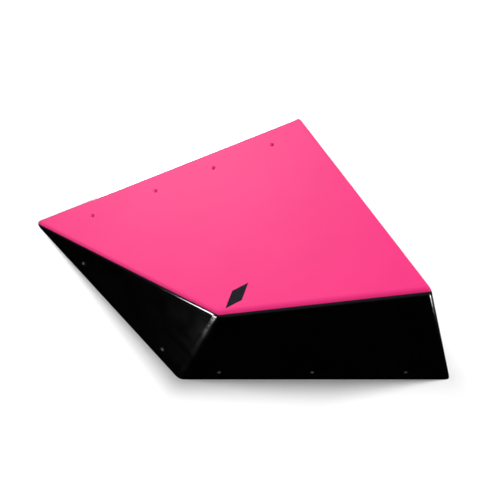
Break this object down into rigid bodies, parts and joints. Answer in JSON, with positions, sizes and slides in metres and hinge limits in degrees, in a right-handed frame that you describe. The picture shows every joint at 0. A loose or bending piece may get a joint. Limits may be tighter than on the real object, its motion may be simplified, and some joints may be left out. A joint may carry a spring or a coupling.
{
  "type": "climbing wall volume",
  "caption": "Low hollow wedge-shaped climbing volume with a pink gritted climbing face, glossy black lower faces and countersunk screw holes along its edges.",
  "frame": {"origin": "middle of the outline on the wall plane: half way along the volume's overall length and width, before the corners are rounded, at the back rim", "axes": "+Z straight out of the climbing wall; +X to the right along the overall length, from the pointed tip towards the tall end; +Y up across the width, from the foot edge towards the top corner"},
  "size_m": [1.1917, 0.756, 0.3334],
  "materials": {
    "black_gelcoat": "high-gloss black gelcoat over glass-fibre laminate, slightly wavy as moulded by hand",
    "pink_grit": "bright pink grip coat with fine sand-like grit",
    "mark_grey": "smooth satin dark grey inlay",
    "painted_washer": "steel washer painted over with the pink coat's colour",
    "steel_washer": "dark zinc-plated steel, turned",
    "raw_laminate": "unpainted glass-fibre laminate, translucent straw green with visible strand texture",
    "plywood": "unvarnished birch plywood, layers visible on the edges",
    "label_plate": "blank pale plastic plate"
  },
  "bodies": {
    "root": {"shell": "black_gelcoat", "grip_coat": "pink_grit", "face_mark": "mark_grey", "climb_washer_1": "painted_washer", "climb_washer_2": "painted_washer", "climb_washer_3": "painted_washer", "climb_washer_4": "painted_washer", "foot_washer_1": "steel_washer", "foot_washer_2": "steel_washer", "foot_washer_3": "steel_washer", "left_washer_1": "steel_washer", "left_washer_2": "steel_washer", "climb_pad_1": "raw_laminate", "climb_pad_2": "raw_laminate", "climb_pad_3": "raw_laminate", "climb_pad_4": "raw_laminate", "foot_pad_1": "raw_laminate", "foot_pad_2": "raw_laminate", "foot_pad_3": "raw_laminate", "left_pad_1": "raw_laminate", "left_pad_2": "raw_laminate", "spine_rib": "plywood", "cross_rib_1": "plywood", "cross_rib_2": "plywood", "cross_rib_1_tape_1a": "raw_laminate", "cross_rib_1_tape_1b": "raw_laminate", "cross_rib_1_tape_2a": "raw_laminate", "cross_rib_1_tape_2b": "raw_laminate", "cross_rib_2_tape_1a": "raw_laminate", "cross_rib_2_tape_1b": "raw_laminate", "cross_rib_2_tape_2a": "raw_laminate", "cross_rib_2_tape_2b": "raw_laminate", "spine_rib_tape_1a": "raw_laminate", "spine_rib_tape_1b": "raw_laminate", "spine_rib_tape_2a": "raw_laminate", "spine_rib_tape_2b": "raw_laminate", "spine_rib_tape_3a": "raw_laminate", "spine_rib_tape_3b": "raw_laminate", "blank_label": "label_plate"}
  },
  "joints": []
}
